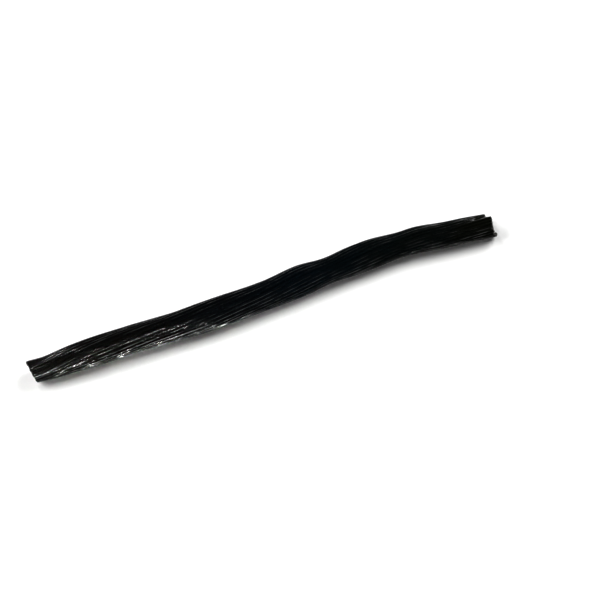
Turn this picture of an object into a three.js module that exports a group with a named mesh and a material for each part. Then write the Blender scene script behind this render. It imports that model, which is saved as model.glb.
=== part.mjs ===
// A black licorice twist: one solid rope of soft licorice, pushed through a fluted die, turned slowly to the
// left as it came out, nipped off narrow at one end and torn off at the other. It lies on its side on z = 0.
// Millimetres. +X runs from the nipped end to the torn end, +Y to the back of the rope's bow, +Z up.
// The origin is on the floor, under the middle of the rope's outer box.
import * as THREE from "three";

// Rope
const ropeLength = 200;
const bodyDiameter = 12;
const ovality = 0.02;
const pressedFlat = 0.5;
const tornSag = 0.5;
const tornSagReach = 60;
const licoriceColour = 0x11100d;
const licoriceRoughness = 0.3;

// Flutes left by the die, each a rounded ridge between two sharp grooves
const ridgeCount = 24;
const ridgeDepth = 0.55;
const ridgeRoundness = 2.2;
const ridgeUnevenness = 0.18;
const pointsPerRidge = 4;

// Turn of the rope in degrees for each millimetre: slow along the body, with more near the nipped end
const bodyTurn = -0.9;
const nippedTurn = -1.8;
const nippedTurnReach = 12;

// Bow of the rope in plan, and its swellings and waists: where each is along the rope, how far it
// reaches either way, and how much it adds to the offset or to the radius
const bends = [
  { at: 7, reach: 7, adds: -0.5 },
  { at: 64, reach: 16, adds: -0.45 },
  { at: 115, reach: 12, adds: 0.7 },
  { at: 151, reach: 33, adds: 3.8 },
  { at: 169, reach: 7, adds: 0.35 },
  { at: 188, reach: 7, adds: 0.15 },
  { at: 200, reach: 7, adds: -0.45 },
];
const swellings = [
  { at: 74, reach: 12, adds: 0.35 },
  { at: 115, reach: 8, adds: 0.5 },
  { at: 128, reach: 7, adds: -0.6 },
  { at: 145, reach: 9, adds: 0.15 },
  { at: 159, reach: 7, adds: -0.5 },
  { at: 190, reach: 30, adds: -0.65 },
];

// Nipped end: narrower, a little flattened, and cut on a slant
const nippedDiameter = 9.7;
const nippedFlattening = 0.88;
const nippedReach = 24;
const nippedSlant = 13;

// Torn end: the face leans back and is lumpy, and the ridges stop unevenly, those at the upper back well
// short of the rest
const tornSlant = 15;
const tornUnevenness = 0.4;
const tornReach = 12;
const tornLump = 0.35;
const tornLumpCount = 5;
const notchDepth = 2;
const notchMiddle = 22;
const notchSpread = 42;

// Direction across the rope in which it is cut on the slant, as an angle up from +Y. It is flattened, and
// its torn face leans, square to this.
const slantDirection = 22;

// Rounded rim and dished face of both ends, with the dish levelling out part of the way in
const rimRounding = 0.45;
const faceDish = 0.4;
const dishEdge = 0.6;
const dishLevel = 0.85;

// Rings of points across the rope, closest together at its ends
const ringSteps = 54;
const ringCrowding = 0.3;
const slopeStep = 0.5;

const pointCount = ridgeCount * pointsPerRidge;
const radians = THREE.MathUtils.degToRad;

// Sum of smooth bumps at one place along the rope.
function bumps(list, along) {
  return list.reduce((sum, { at, reach, adds }) => sum + adds * Math.exp(-(((along - at) / reach) ** 2)), 0);
}

// 1 at an end of the rope, falling smoothly to 0 at the given reach from it.
function fade(fromEnd, reach) {
  return 1 - THREE.MathUtils.smoothstep(fromEnd, 0, reach);
}

function turnAt(along) {
  const nippedPart = nippedTurn * nippedTurnReach * (1 - Math.exp(-along / nippedTurnReach));
  return radians(bodyTurn * along + nippedPart);
}

function radiusAt(along) {
  const bodyRadius = bodyDiameter / 2 + bumps(swellings, along);
  return THREE.MathUtils.lerp(bodyRadius, nippedDiameter / 2, fade(along, nippedReach));
}

function flatteningAt(along) {
  return THREE.MathUtils.lerp(1, nippedFlattening, fade(along, nippedReach));
}

// The stiff rope's axis stays level and only sags a little to its torn end. Its narrow places and its
// nipped end clear the floor, and the ridges under the rest are pressed flat.
function axisHeightAt(along) {
  return bodyDiameter / 2 - pressedFlat - tornSag * fade(ropeLength - along, tornSagReach);
}

// The outline that the die gives, as a share of the radius at each point round the rope. The sine of a
// squared number makes the ridges uneven in a way that repeats.
const dieOutline = Array.from({ length: pointCount }, (_, index) => {
  const ridge = Math.floor(index / pointsPerRidge);
  const height = 1 + ridgeUnevenness * Math.sin(ridge ** 2);
  const fromCrest = Math.abs((2 * (index % pointsPerRidge)) / pointsPerRidge - 1);
  const groove = (ridgeDepth / (bodyDiameter / 2)) * height * fromCrest ** ridgeRoundness;
  return 1 + ovality * Math.cos((4 * Math.PI * index) / pointCount) - groove;
});

// How far short of the torn end each ridge stops.
const stopsShort = Array.from({ length: ridgeCount }, (_, ridge) => {
  const crest = ((ridge + 0.5) / ridgeCount) * 2 * Math.PI + turnAt(ropeLength);
  const inNotch = Math.cos(crest - radians(notchMiddle)) > Math.cos(radians(notchSpread));
  return tornUnevenness * Math.cos(ridge ** 2) + (inNotch ? notchDepth : 0);
});

// One point of the outline: how far across and up it is from the rope's axis, and how far the slanting cut
// or the tear moves it along the rope.
function outlinePoint(index, along) {
  const slant = radians(slantDirection);
  const angle = (index / pointCount) * 2 * Math.PI + turnAt(along) - slant;
  const radius = dieOutline[index] * radiusAt(along);
  const wide = radius * Math.cos(angle);
  const deep = radius * Math.sin(angle) * flatteningAt(along);

  const nipped = radians(nippedSlant) * fade(along, nippedReach);
  const tear = fade(ropeLength - along, tornReach);
  const leaning = radians(tornSlant) * tear;
  const short = stopsShort[Math.floor(index / pointsPerRidge)] * tear;
  const cutWide = wide * Math.cos(nipped);
  const cutDeep = deep * Math.cos(leaning);
  return {
    across: cutWide * Math.cos(slant) - cutDeep * Math.sin(slant),
    up: cutWide * Math.sin(slant) + cutDeep * Math.cos(slant),
    shift: -wide * Math.sin(nipped) - deep * Math.sin(leaning) - short,
  };
}

// A ring of points square across the rope. The rim of an end face is drawn in and pushed out past the end.
function ringPoints(along, drawnIn = 0, pushedOut = 0) {
  const slope = (bumps(bends, along + slopeStep) - bumps(bends, along - slopeStep)) / (2 * slopeStep);
  const heading = new THREE.Vector3(1, slope, 0).normalize();
  const side = new THREE.Vector3(-heading.y, heading.x, 0);
  const centre = new THREE.Vector3(along, bumps(bends, along), axisHeightAt(along));
  return Array.from({ length: pointCount }, (_, index) => {
    const { across, up, shift } = outlinePoint(index, along);
    const kept = 1 - drawnIn / Math.hypot(across, up);
    return centre
      .clone()
      .addScaledVector(heading, shift + pushedOut)
      .addScaledVector(side, across * kept)
      .setZ(Math.max(0, centre.z + up * kept));
  });
}

// Middle of an end face, sunk into the rope, and the ring round it where the face levels out.
function endFace(rim, inwards, lump) {
  const middle = rim.reduce((sum, point) => sum.add(point), new THREE.Vector3()).divideScalar(rim.length);
  middle.x += inwards * faceDish;
  const edge = rim.map((point, index) => {
    const lumps = lump * Math.sin((tornLumpCount * index * 2 * Math.PI) / rim.length);
    const level = THREE.MathUtils.lerp(point.x, middle.x, dishLevel) + lumps;
    return point.clone().lerp(middle, 1 - dishEdge).setX(level);
  });
  return { middle, edge };
}

function twistGeometry() {
  const nippedRim = ringPoints(0, rimRounding, -rimRounding);
  const tornRim = ringPoints(ropeLength, rimRounding, rimRounding);
  const nippedFace = endFace(nippedRim, 1, 0);
  const tornFace = endFace(tornRim, -1, tornLump);

  const rings = [nippedFace.edge, nippedRim];
  for (let step = 0; step <= ringSteps; step += 1) {
    const even = step / ringSteps;
    const crowded = even - (ringCrowding * Math.sin(2 * Math.PI * even)) / (2 * Math.PI);
    rings.push(ringPoints(ropeLength * crowded));
  }
  rings.push(tornRim, tornFace.edge);

  const points = rings.flat();
  const faces = [];
  for (let ring = 0; ring + 1 < rings.length; ring += 1) {
    for (let index = 0; index < pointCount; index += 1) {
      const here = ring * pointCount + index;
      const beside = ring * pointCount + ((index + 1) % pointCount);
      faces.push(here, beside + pointCount, here + pointCount);
      faces.push(here, beside, beside + pointCount);
    }
  }

  // Both faces are closed round their middles.
  const lastRing = (rings.length - 1) * pointCount;
  const nippedMiddle = points.push(nippedFace.middle) - 1;
  const tornMiddle = points.push(tornFace.middle) - 1;
  for (let index = 0; index < pointCount; index += 1) {
    const next = (index + 1) % pointCount;
    faces.push(nippedMiddle, next, index);
    faces.push(tornMiddle, lastRing + index, lastRing + next);
  }

  const geometry = new THREE.BufferGeometry().setFromPoints(points);
  geometry.setIndex(faces);
  geometry.computeBoundingBox();
  const boxMiddle = geometry.boundingBox.getCenter(new THREE.Vector3());
  geometry.translate(-boxMiddle.x, -boxMiddle.y, 0);
  geometry.computeVertexNormals();
  return geometry;
}

const licorice = new THREE.MeshStandardMaterial({
  color: licoriceColour,
  roughness: licoriceRoughness,
  metalness: 0,
});

const twist = new THREE.Mesh(twistGeometry(), licorice);
twist.name = "licorice_twist";

const part = new THREE.Group();
part.add(twist);

export default part;
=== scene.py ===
import math

import bmesh
import bpy
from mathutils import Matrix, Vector, noise


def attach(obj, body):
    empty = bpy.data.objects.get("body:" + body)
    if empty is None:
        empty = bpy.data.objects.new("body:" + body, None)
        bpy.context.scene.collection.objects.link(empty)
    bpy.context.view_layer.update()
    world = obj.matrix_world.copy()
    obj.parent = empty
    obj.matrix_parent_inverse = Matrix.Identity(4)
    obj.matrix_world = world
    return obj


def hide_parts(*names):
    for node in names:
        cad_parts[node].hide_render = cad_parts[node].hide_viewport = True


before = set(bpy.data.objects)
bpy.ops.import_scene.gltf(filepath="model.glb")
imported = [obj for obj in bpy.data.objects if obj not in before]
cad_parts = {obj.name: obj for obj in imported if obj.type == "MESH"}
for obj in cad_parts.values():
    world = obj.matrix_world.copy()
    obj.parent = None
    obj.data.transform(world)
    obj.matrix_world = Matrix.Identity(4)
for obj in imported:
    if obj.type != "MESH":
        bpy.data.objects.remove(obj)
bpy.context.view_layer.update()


# The rope: one length of soft black licorice, pushed warm through a die with 24 flutes and turned to the
# left as it came out, so that each flute leaves a rounded ridge between two sharp grooves. It is nipped
# off narrow at one end and torn off at the other, and its own weight presses the ridges under it flat.
MM = 0.001
ROPE_LENGTH = 200 * MM
BODY_RADIUS = 6 * MM
OVALITY = 0.02
PRESSED_FLAT = 0.5 * MM
TORN_SAG = 0.5 * MM
TORN_SAG_REACH = 60 * MM

RIDGES = 24
RIDGE_POINTS = 6
RIDGE_DEPTH = 0.55 * MM
RIDGE_ROUNDNESS = 2.2
RIDGE_UNEVENNESS = 0.18
GROOVE_SHARPNESS = 0.5

BODY_TURN = math.radians(-0.9) / MM
NIPPED_TURN = math.radians(-1.8) / MM
NIPPED_TURN_REACH = 12 * MM

# Where each bend or swelling is along the rope, how far it reaches either way and what it adds.
BENDS = (
    (7 * MM, 7 * MM, -0.5 * MM),
    (64 * MM, 16 * MM, -0.45 * MM),
    (115 * MM, 12 * MM, 0.7 * MM),
    (151 * MM, 33 * MM, 3.8 * MM),
    (169 * MM, 7 * MM, 0.35 * MM),
    (188 * MM, 7 * MM, 0.15 * MM),
    (200 * MM, 7 * MM, -0.45 * MM),
)
SWELLINGS = (
    (74 * MM, 12 * MM, 0.35 * MM),
    (115 * MM, 8 * MM, 0.5 * MM),
    (128 * MM, 7 * MM, -0.6 * MM),
    (145 * MM, 9 * MM, 0.15 * MM),
    (159 * MM, 7 * MM, -0.5 * MM),
    (190 * MM, 30 * MM, -0.65 * MM),
)

NIPPED_RADIUS = 4.85 * MM
NIPPED_FLATTENING = 0.88
NIPPED_REACH = 24 * MM
NIPPED_SLANT = math.radians(13)

TORN_SLANT = math.radians(15)
TORN_UNEVENNESS = 0.4 * MM
TORN_REACH = 12 * MM
NOTCH_DEPTH = 2 * MM
NOTCH_MIDDLE = math.radians(22)
NOTCH_SPREAD = math.radians(42)

# Direction across the rope in which it is cut on the slant, as an angle up from +Y. It is flattened, and
# its torn face leans, square to this.
SLANT_DIRECTION = math.radians(22)

# Rounded rim of both ends, and their face, dished in steps that each reach a share of the radius.
RIM_ROUNDING = 0.45 * MM
RIM_STEPS = 3
FACE_MARGIN = 0.92
FACE_DISH = 0.4 * MM
DISH_STEPS = (0.8, 0.6, 0.35)

# Rings of points across the rope, closest together at its ends, and half the length that its heading is
# measured over.
RINGS = 108
RING_CROWDING = 0.45
HEADING_REACH = 0.5 * MM


# Sum of smooth bumps at one place along the rope.
def bumps(places, along):
    return sum(adds * math.exp(-(((along - at) / reach) ** 2)) for at, reach, adds in places)


# 1 at an end of the rope, falling smoothly to 0 at the given reach from it.
def fade(from_end, reach):
    t = min(1, max(0, from_end / reach))
    return 1 - t * t * (3 - 2 * t)


def turn_at(along):
    return BODY_TURN * along + NIPPED_TURN * NIPPED_TURN_REACH * (1 - math.exp(-along / NIPPED_TURN_REACH))


def radius_at(along):
    nipped = fade(along, NIPPED_REACH)
    return (BODY_RADIUS + bumps(SWELLINGS, along)) * (1 - nipped) + NIPPED_RADIUS * nipped


def flattening_at(along):
    return 1 - (1 - NIPPED_FLATTENING) * fade(along, NIPPED_REACH)


def heading_at(along):
    rise = bumps(BENDS, along + HEADING_REACH) - bumps(BENDS, along - HEADING_REACH)
    return math.atan(rise / (2 * HEADING_REACH))


# The stiff rope's axis stays level and only sags a little to its torn end, so its narrow places clear the
# floor.
def centre_at(along):
    sag = TORN_SAG * fade(ROPE_LENGTH - along, TORN_SAG_REACH)
    return Vector((along, bumps(BENDS, along), BODY_RADIUS - PRESSED_FLAT - sag))


# Selects the points of the rope, in edit mode, that a test picks out. Each point knows the ring that it is
# in and its place round the rope.
def pick(test):
    mesh = bmesh.from_edit_mesh(rope.data)
    ring = mesh.verts.layers.int["ring"]
    place = mesh.verts.layers.int["place"]
    for point in mesh.verts:
        point.select = test(point[ring], point[place], point.co)
    mesh.select_flush_mode()
    bmesh.update_edit_mesh(rope.data)


# Tells the points that are selected which ring they are in.
def number_ring(number):
    mesh = bmesh.from_edit_mesh(rope.data)
    ring = mesh.verts.layers.int["ring"]
    for point in mesh.verts:
        if point.select:
            point[ring] = number


# With no window the rotate operator turns the other way, so the angle is turned round here.
def turn(axis, angle, centre):
    if angle:
        bpy.ops.transform.rotate(value=-angle, orient_axis=axis, center_override=centre)


def stretch(x, y, z, centre):
    bpy.ops.transform.resize(value=(x, y, z), center_override=centre)


bpy.ops.object.select_all(action="DESELECT")
bpy.ops.mesh.primitive_circle_add(
    vertices=RIDGES * RIDGE_POINTS, radius=BODY_RADIUS, rotation=(0, math.pi / 2, 0)
)
rope = bpy.context.object
rope.name = "twist_rope"
rope.data.name = "twist_rope"
bpy.ops.object.transform_apply(location=True, rotation=True, scale=True)

# The die's outline: the points between the crests are drawn in to make the grooves.
bpy.ops.object.mode_set(mode="EDIT")
mesh = bmesh.from_edit_mesh(rope.data)
place_layer = mesh.verts.layers.int.new("place")
mesh.verts.layers.int.new("ring")
for number, point in enumerate(mesh.verts):
    point[place_layer] = number
for number in range(RIDGES * RIDGE_POINTS):
    ridge, step = divmod(number, RIDGE_POINTS)
    height = 1 + RIDGE_UNEVENNESS * math.sin(ridge ** 2)
    groove = RIDGE_DEPTH / BODY_RADIUS * height * abs(2 * step / RIDGE_POINTS - 1) ** RIDGE_ROUNDNESS
    drawn_in = 1 + OVALITY * math.cos(4 * math.pi * number / (RIDGES * RIDGE_POINTS)) - groove
    pick(lambda ring, place, co: place == number)
    stretch(1, drawn_in, drawn_in, (0, 0, 0))

# The rope is drawn out of the die ring by ring, straight at first, turning and swelling on the way.
bpy.ops.mesh.select_all(action="SELECT")
start_size = radius_at(0) / BODY_RADIUS
stretch(1, start_size, start_size, (0, 0, 0))
stations = []
for number in range(RINGS + 1):
    even = number / RINGS
    stations.append(ROPE_LENGTH * (even - RING_CROWDING * math.sin(2 * math.pi * even) / (2 * math.pi)))
for number in range(1, RINGS + 1):
    before, along = stations[number - 1], stations[number]
    bpy.ops.mesh.extrude_region_move(TRANSFORM_OT_translate={"value": (along - before, 0, 0)})
    number_ring(number)
    turn("X", turn_at(along) - turn_at(before), (along, 0, 0))
    grown = radius_at(along) / radius_at(before)
    stretch(1, grown, grown, (along, 0, 0))

# The tear: each ridge stops a little sooner or later than the next, and those in the notch far sooner.
for ridge in range(RIDGES):
    crest = (ridge + 0.5) / RIDGES * 2 * math.pi + turn_at(ROPE_LENGTH)
    in_notch = math.cos(crest - NOTCH_MIDDLE) > math.cos(NOTCH_SPREAD)
    short = TORN_UNEVENNESS * math.cos(ridge ** 2) + (NOTCH_DEPTH if in_notch else 0)
    tear_start = ROPE_LENGTH - TORN_REACH
    pick(lambda ring, place, co: place // RIDGE_POINTS == ridge and co.x > tear_start)
    stretch((TORN_REACH - short) / TORN_REACH, 1, 1, (tear_start, 0, 0))

# Each ring is laid in its place on the bow, after those at the ends are flattened, slanted and leant back.
for number, along in enumerate(stations):
    pick(lambda ring, place, co: ring == number)
    here = (along, 0, 0)
    nipped = fade(along, NIPPED_REACH)
    torn = fade(ROPE_LENGTH - along, TORN_REACH)
    if nipped or torn:
        turn("X", -SLANT_DIRECTION, here)
        stretch(1, 1, flattening_at(along), here)
        turn("Z", NIPPED_SLANT * nipped, here)
        turn("Y", -TORN_SLANT * torn, here)
        turn("X", SLANT_DIRECTION, here)
    turn("Z", heading_at(along), here)
    bpy.ops.transform.translate(value=centre_at(along) - Vector(here))

# Both ends: a rounded rim, then a face of small squares that is pushed in a little in the middle.
for end_ring, along, outwards in ((0, 0, -1), (RINGS, ROPE_LENGTH, 1)):
    pick(lambda ring, place, co: ring == end_ring)
    heading = Vector((math.cos(heading_at(along)), math.sin(heading_at(along)), 0))
    centre = centre_at(along)
    radius = radius_at(along)
    pushed, drawn = 0, 0
    for step in range(1, RIM_STEPS + 1):
        angle = math.pi / 2 * step / RIM_STEPS
        push = RIM_ROUNDING * math.sin(angle) - pushed
        draw = RIM_ROUNDING * (1 - math.cos(angle)) - drawn
        shrunk = (radius - drawn - draw) / (radius - drawn)
        bpy.ops.mesh.extrude_region_move(TRANSFORM_OT_translate={"value": heading * outwards * push})
        number_ring(end_ring + outwards * step)
        stretch(shrunk, shrunk, shrunk, centre + heading * outwards * (pushed + push))
        pushed, drawn = pushed + push, drawn + draw
    rim_centre = centre + heading * outwards * pushed
    face_ring = end_ring + outwards * (RIM_STEPS + 1)
    bpy.ops.mesh.extrude_region_move(TRANSFORM_OT_translate={"value": (0, 0, 0)})
    number_ring(face_ring)
    stretch(FACE_MARGIN, FACE_MARGIN, FACE_MARGIN, rim_centre)
    bpy.ops.mesh.fill_grid(span=RIDGES * RIDGE_POINTS // 4)
    number_ring(face_ring)
    for reach in DISH_STEPS:
        pick(lambda ring, place, co: ring == face_ring and (co - rim_centre).length < reach * radius)
        bpy.ops.transform.translate(value=heading * -outwards * FACE_DISH / len(DISH_STEPS))

# The grooves stay sharper than the crests when the surface is smoothed.
pick(lambda ring, place, co: place % RIDGE_POINTS == 0 and 0 <= ring <= RINGS)
bpy.ops.transform.edge_crease(value=GROOVE_SHARPNESS)
bpy.ops.mesh.select_all(action="SELECT")
bpy.ops.mesh.normals_make_consistent(inside=False)

# The torn face is rough, and the cut one a little uneven.
for name, test in (
    ("torn_face", lambda ring, place, co: ring > RINGS + 1),
    ("cut_face", lambda ring, place, co: ring < -1),
):
    bpy.ops.object.vertex_group_add()
    rope.vertex_groups.active.name = name
    pick(test)
    bpy.ops.object.vertex_group_assign()

# Each point keeps its place on the straight rope, so that its skin's marks can follow the ridges.
mesh = bmesh.from_edit_mesh(rope.data)
straight_layer = mesh.verts.layers.float_vector.new("straight")
ring_layer = mesh.verts.layers.int["ring"]
place_layer = mesh.verts.layers.int["place"]
for point in mesh.verts:
    along = stations[min(RINGS, max(0, point[ring_layer]))]
    angle = 2 * math.pi * point[place_layer] / (RIDGES * RIDGE_POINTS)
    point[straight_layer] = (along, BODY_RADIUS * math.cos(angle), BODY_RADIUS * math.sin(angle))
bmesh.update_edit_mesh(rope.data)
bpy.ops.object.mode_set(mode="OBJECT")

# The origin is under the middle of the outer box, as in the CAD model.
lows = [min(point.co[axis] for point in rope.data.vertices) for axis in range(3)]
highs = [max(point.co[axis] for point in rope.data.vertices) for axis in range(3)]
rope.location = (-(lows[0] + highs[0]) / 2, -(lows[1] + highs[1]) / 2, 0)
bpy.ops.object.transform_apply(location=True, rotation=True, scale=True)

smoothing = rope.modifiers.new("smooth", "SUBSURF")
smoothing.levels = 1
smoothing.render_levels = 1
bpy.ops.object.modifier_apply(modifier=smoothing.name)

# Soft licorice is never quite even: it has long swells, lumps about as wide as a ridge, and coarser ones on
# its end faces. Each kind has its width, its depth and the face that it keeps to, if any.
LUMPS = (
    ("long_swells", 12 * MM, 0.12 * MM, ""),
    ("ridge_lumps", 2.2 * MM, 0.06 * MM, ""),
    ("torn_lumps", 1.3 * MM, 0.9 * MM, "torn_face"),
    ("cut_lumps", 1.6 * MM, 0.5 * MM, "cut_face"),
)
LUMP_LAYERS = 2
for name, width, depth, group in LUMPS:
    lumps = bpy.data.textures.new(name, "CLOUDS")
    lumps.noise_scale = width
    lumps.noise_depth = LUMP_LAYERS
    uneven = rope.modifiers.new(name, "DISPLACE")
    uneven.texture = lumps
    uneven.texture_coords = "LOCAL"
    uneven.strength = depth
    uneven.vertex_group = group
    bpy.ops.object.modifier_apply(modifier=uneven.name)

# Long shallow folds run along the ridges, where the warm rope was handled. All normals are read before any
# point moves.
FOLD_LENGTH = 30 * MM
FOLD_WIDTH = 3 * MM
FOLD_DEPTH = 0.4 * MM
normals = [point.normal.copy() for point in rope.data.vertices]
places = [place.vector.copy() for place in rope.data.attributes["straight"].data]
for point, normal, (along, across, up) in zip(rope.data.vertices, normals, places):
    fold = noise.noise(Vector((along / FOLD_LENGTH, across / FOLD_WIDTH, up / FOLD_WIDTH)))
    point.co += normal * FOLD_DEPTH * fold

# What would sink into the floor is pressed flat.
bpy.ops.object.mode_set(mode="EDIT")
pick(lambda ring, place, co: co.z < 0)
stretch(1, 1, 0, (0, 0, 0))
bpy.ops.object.mode_set(mode="OBJECT")
bpy.ops.object.shade_smooth()


# One function adds a node with its settings, its values and its links.
def add_node(tree, kind, values=None, **settings):
    node = tree.nodes.new(kind)
    for name, setting in settings.items():
        setattr(node, name, setting)
    for name, value in (values or {}).items():
        if isinstance(value, bpy.types.NodeSocket):
            tree.links.new(value, node.inputs[name])
        else:
            node.inputs[name].default_value = value
    return node


def colour(hex_colour):
    channels = [int(hex_colour[at:at + 2], 16) / 255 for at in (1, 3, 5)]
    return [c / 12.92 if c <= 0.04045 else ((c + 0.055) / 1.055) ** 2.4 for c in channels] + [1]


def set_tones(ramp, tones):
    first, *between, last = tones
    for element, (position, hex_colour) in zip(ramp.elements, (first, last)):
        element.position = position
        element.color = colour(hex_colour)
    for position, hex_colour in between:
        ramp.elements.new(position).color = colour(hex_colour)


# Licorice skin as it leaves the die: wheat dough black with licorice extract and molasses, oily along some
# of the fine lines that the die drags along it and dull along the rest. It is olive black towards the ends,
# and the cooler, bluish black between them is a painted reflection tint. Ripples about as wide as a ridge
# and a finer grain break up its sheen.
# The die's lines are about twelve times as long as they are wide.
LICORICE_IOR = 1.48
# Skin colours along the rope: olive black at the ends, and in the middle a cool blue-black that is a painted
# reflection tint.
SKIN_AND_REFLECTION_TINT_TONES = ((0.0, "#0a0a08"), (0.3, "#080909"), (0.6, "#04090d"), (0.8, "#060a0a"), (1.0, "#0b0c07"))
BLOTCH_WIDTH = 14 * MM
RIPPLE_WIDTH = 1.3 * MM
DRAG_LINE_WIDTH = 0.55 * MM
DRAG_LINE_STRETCH = 0.08
GRAIN_WIDTH = 0.5 * MM
skin = bpy.data.materials.new("licorice_skin")
skin.use_nodes = True
tree = skin.node_tree
tree.nodes.clear()
place = add_node(tree, "ShaderNodeTexCoord").outputs["Object"]
straight = add_node(tree, "ShaderNodeAttribute", attribute_name="straight").outputs["Vector"]
along = add_node(tree, "ShaderNodeSeparateXYZ", {"Vector": straight}).outputs["X"]
share = add_node(tree, "ShaderNodeMath", {0: along, 1: 1 / ROPE_LENGTH}, operation="MULTIPLY")
blotches = add_node(tree, "ShaderNodeTexNoise", {"Vector": place, "Scale": 1 / BLOTCH_WIDTH, "Detail": 3.0})
shift = add_node(
    tree, "ShaderNodeMapRange", {"Value": blotches.outputs["Fac"], "To Min": -0.2, "To Max": 0.2}
)
patchy = add_node(
    tree, "ShaderNodeMath", {0: share.outputs["Value"], 1: shift.outputs["Result"]}, operation="ADD"
)
# The base colour runs along the rope from olive black into the painted cool reflection tint in the middle,
# shifted at random by the blotches.
tone = add_node(tree, "ShaderNodeValToRGB", {"Fac": patchy.outputs["Value"]})
set_tones(tone.color_ramp, SKIN_AND_REFLECTION_TINT_TONES)
drawn_out = add_node(tree, "ShaderNodeMapping", {"Vector": straight, "Scale": (DRAG_LINE_STRETCH, 1.0, 1.0)})
drag = add_node(
    tree,
    "ShaderNodeTexNoise",
    {"Vector": drawn_out.outputs["Vector"], "Scale": 1 / DRAG_LINE_WIDTH, "Detail": 3.0},
)
ripple = add_node(tree, "ShaderNodeTexNoise", {"Vector": straight, "Scale": 1 / RIPPLE_WIDTH, "Detail": 2.0})
gloss = add_node(
    tree,
    "ShaderNodeMapRange",
    {"Value": drag.outputs["Fac"], "From Min": 0.3, "From Max": 0.7, "To Min": 0.04, "To Max": 0.08},
)
oily = add_node(
    tree,
    "ShaderNodeMapRange",
    {"Value": drag.outputs["Fac"], "From Min": 0.46, "From Max": 0.6, "To Min": 0.03, "To Max": 0.5},
)
grain = add_node(tree, "ShaderNodeTexNoise", {"Vector": place, "Scale": 1 / GRAIN_WIDTH, "Detail": 3.0})
ripple_bump = add_node(
    tree, "ShaderNodeBump", {"Height": ripple.outputs["Fac"], "Strength": 0.15, "Distance": 0.1 * MM}
)
drag_bump = add_node(
    tree,
    "ShaderNodeBump",
    {
        "Height": drag.outputs["Fac"],
        "Strength": 0.25,
        "Distance": 0.12 * MM,
        "Normal": ripple_bump.outputs["Normal"],
    },
)
grain_bump = add_node(
    tree,
    "ShaderNodeBump",
    {
        "Height": grain.outputs["Fac"],
        "Strength": 0.12,
        "Distance": 0.05 * MM,
        "Normal": drag_bump.outputs["Normal"],
    },
)
surface = add_node(
    tree,
    "ShaderNodeBsdfPrincipled",
    {
        "Base Color": tone.outputs["Color"],
        "Roughness": gloss.outputs["Result"],
        "IOR": LICORICE_IOR,
        "Specular IOR Level": oily.outputs["Result"],
        "Normal": grain_bump.outputs["Normal"],
    },
)
add_node(tree, "ShaderNodeOutputMaterial", {"Surface": surface.outputs["BSDF"]})

# The inside of the licorice, which shows on both end faces: the same dough, duller and a little browner,
# with crumbs.
INSIDE_TONES = ((0.4, "#100e0a"), (0.66, "#2b251c"))
CRUMB_WIDTH = 0.8 * MM
torn = bpy.data.materials.new("torn_licorice")
torn.use_nodes = True
tree = torn.node_tree
tree.nodes.clear()
place = add_node(tree, "ShaderNodeTexCoord").outputs["Object"]
crumbs = add_node(tree, "ShaderNodeTexNoise", {"Vector": place, "Scale": 1 / CRUMB_WIDTH, "Detail": 5.0})
tone = add_node(tree, "ShaderNodeValToRGB", {"Fac": crumbs.outputs["Fac"]})
set_tones(tone.color_ramp, INSIDE_TONES)
crumb_bump = add_node(
    tree, "ShaderNodeBump", {"Height": crumbs.outputs["Fac"], "Strength": 0.8, "Distance": 0.25 * MM}
)
surface = add_node(
    tree,
    "ShaderNodeBsdfPrincipled",
    {
        "Base Color": tone.outputs["Color"],
        "Roughness": 0.55,
        "IOR": LICORICE_IOR,
        "Normal": crumb_bump.outputs["Normal"],
    },
)
add_node(tree, "ShaderNodeOutputMaterial", {"Surface": surface.outputs["BSDF"]})

rope.data.materials.append(skin)
rope.data.materials.append(torn)
rope.active_material_index = 1
bpy.ops.object.mode_set(mode="EDIT")
pick(lambda ring, place, co: ring > RINGS + 1 or ring < -1)
bpy.ops.object.material_slot_assign()
bpy.ops.object.mode_set(mode="OBJECT")

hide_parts("licorice_twist")
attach(rope, "root")


# The floor: a sheet of matt white paper, far wider than the view.
FLOOR_WIDTH = 3
FIBRE_LENGTH = 1.5 * MM
bpy.ops.object.select_all(action="DESELECT")
bpy.ops.mesh.primitive_plane_add(size=FLOOR_WIDTH)
floor = bpy.context.object
floor.name = "floor"
paper = bpy.data.materials.new("white_paper")
paper.use_nodes = True
tree = paper.node_tree
tree.nodes.clear()
place = add_node(tree, "ShaderNodeTexCoord").outputs["Object"]
fibres = add_node(tree, "ShaderNodeTexNoise", {"Vector": place, "Scale": 1 / FIBRE_LENGTH, "Detail": 2.0})
fibre_bump = add_node(
    tree, "ShaderNodeBump", {"Height": fibres.outputs["Fac"], "Strength": 0.1, "Distance": 0.05 * MM}
)
surface = add_node(
    tree,
    "ShaderNodeBsdfPrincipled",
    {"Base Color": colour("#f7f7f6"), "Roughness": 0.8, "Normal": fibre_bump.outputs["Normal"]},
)
add_node(tree, "ShaderNodeOutputMaterial", {"Surface": surface.outputs["BSDF"]})
floor.data.materials.append(paper)


# The studio: a wide soft light high up at either side, a weak fill, three small lights low in front that
# draw streaks along the lower ridges and one low behind the nipped end. A grid over each of the three
# keeps it to its own stretch of the rope. The room is a faint grey, and its pale wall only shows in the
# picture, whose tones are contrasty.
MIDDLE = (0, 0, 0)
NIPPED_PART = (-0.085, 0, 0)
ROOM_GREY = (0.02, 0.021, 0.022, 1)
WALL_WHITE = (0.9, 0.9, 0.9, 1)
PICTURE_GAMMA = 0.88


# A lamp's place and what it points at, its size, its power in watts and how wide its light fans out, in
# degrees.
def soft_light(name, at, towards, width, height, power, spread=180):
    data = bpy.data.lights.new(name, "AREA")
    data.spread = math.radians(spread)
    data.shape = "RECTANGLE"
    data.size = width
    data.size_y = height
    data.energy = power
    light = bpy.data.objects.new(name, data)
    light.location = at
    light.rotation_euler = (Vector(at) - Vector(towards)).to_track_quat("Z", "Y").to_euler()
    bpy.context.scene.collection.objects.link(light)


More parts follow.
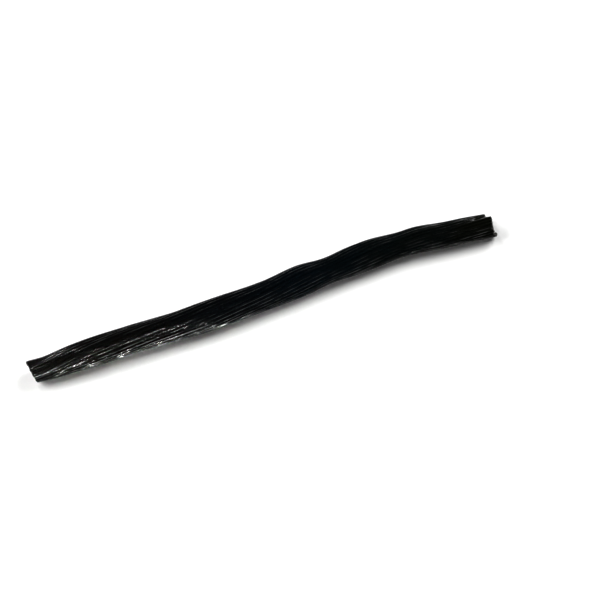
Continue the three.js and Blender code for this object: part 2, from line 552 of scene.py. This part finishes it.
soft_light("left_key", (-1.35, 0.57, 1.49), MIDDLE, 1.29, 0.8, 38)
soft_light("right_key", (1.35, 0.57, 1.49), MIDDLE, 1.29, 0.8, 38)
soft_light("fill_light", (1.3, -0.9, 1.0), MIDDLE, 0.8, 0.8, 4)
soft_light("low_left", (-0.225, -1.3, 0.06), NIPPED_PART, 0.09, 0.03, 0.07, spread=12)
soft_light("low_middle", (-0.095, -1.3, 0.06), (-0.06, 0, 0), 0.07, 0.03, 0.068, spread=12)
soft_light("low_right", (0.075, -1.3, 0.06), (-0.006, 0, 0), 0.05, 0.03, 0.014, spread=8)
soft_light("back_spot", (-0.257, 1.075, 0.501), NIPPED_PART, 0.07, 0.04, 6)

world = bpy.data.worlds.new("grey_room")
world.use_nodes = True
tree = world.node_tree
tree.nodes.clear()
room = add_node(tree, "ShaderNodeBackground", {"Color": ROOM_GREY})
wall = add_node(tree, "ShaderNodeBackground", {"Color": WALL_WHITE})
seen = add_node(tree, "ShaderNodeLightPath").outputs["Is Camera Ray"]
backdrop = add_node(
    tree, "ShaderNodeMixShader", {0: seen, 1: room.outputs["Background"], 2: wall.outputs["Background"]}
)
add_node(tree, "ShaderNodeOutputWorld", {"Surface": backdrop.outputs["Shader"]})
bpy.context.scene.world = world
bpy.context.scene.view_settings.view_transform = "Standard"
bpy.context.scene.view_settings.gamma = PICTURE_GAMMA


# The camera looks steeply down at the front of the rope through a long lens, whose length and sensor are in
# millimetres.
CAMERA_LENS = 100
SENSOR_WIDTH = 36
CAMERA_AZIMUTH = math.radians(-19.31)
CAMERA_ELEVATION = math.radians(67)
CAMERA_DISTANCE = 0.68586
CAMERA_TARGET = Vector((0.01224, -0.00803, 0.006))
camera_data = bpy.data.cameras.new("camera")
camera_data.lens = CAMERA_LENS
camera_data.sensor_width = SENSOR_WIDTH
camera = bpy.data.objects.new("camera", camera_data)
away = Vector(
    (
        math.sin(CAMERA_AZIMUTH) * math.cos(CAMERA_ELEVATION),
        -math.cos(CAMERA_AZIMUTH) * math.cos(CAMERA_ELEVATION),
        math.sin(CAMERA_ELEVATION),
    )
)
camera.location = CAMERA_TARGET + away * CAMERA_DISTANCE
camera.rotation_euler = away.to_track_quat("Z", "Y").to_euler()
bpy.context.scene.collection.objects.link(camera)
bpy.context.scene.camera = camera
